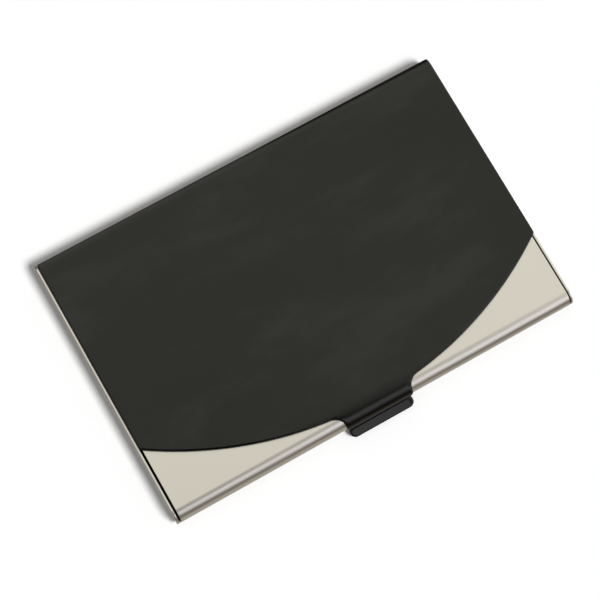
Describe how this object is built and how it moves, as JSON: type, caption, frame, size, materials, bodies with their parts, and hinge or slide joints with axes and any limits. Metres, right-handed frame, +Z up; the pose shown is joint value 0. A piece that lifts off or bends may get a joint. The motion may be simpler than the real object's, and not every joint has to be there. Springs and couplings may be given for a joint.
{
  "type": "business card case",
  "caption": "Slim metal business card case: a bright tray with a rolled front edge under a hinged black lid with an arched front, a latch tab and a thumb lip.",
  "frame": {"origin": "centre of the flat underside that the case rests on, midway between the rolled front edge and the rolled rear edge", "axes": "+X to the right along the front edge, seen from the front; -Y is the front, with the latch tab; +Y is the hinge side; +Z up out of the lid"},
  "size_m": [0.094, 0.0633, 0.006],
  "materials": {
    "satin_steel": "satin stainless steel with a fine grain and bright cut edges",
    "pin_steel": "bright turned steel",
    "spring_steel": "rolled spring steel",
    "black_lacquer": "smooth black lacquer with a soft gloss"
  },
  "bodies": {
    "tray": {"base_shell": "satin_steel", "left_end_plate": "satin_steel", "right_end_plate": "satin_steel", "left_hinge_pin": "pin_steel", "right_hinge_pin": "pin_steel", "snap_spring": "spring_steel", "left_spring_rivet": "pin_steel", "right_spring_rivet": "pin_steel"},
    "lid": {"lid_cover": "black_lacquer", "hinge_strip": "satin_steel"}
  },
  "joints": [
    {"name": "lid_hinge", "type": "hinge", "parent": "tray", "child": "lid", "pos_m": [0, 0.0278, 0.0026], "axis": [-1, 0, 0], "range_deg": [0, 95]}
  ]
}
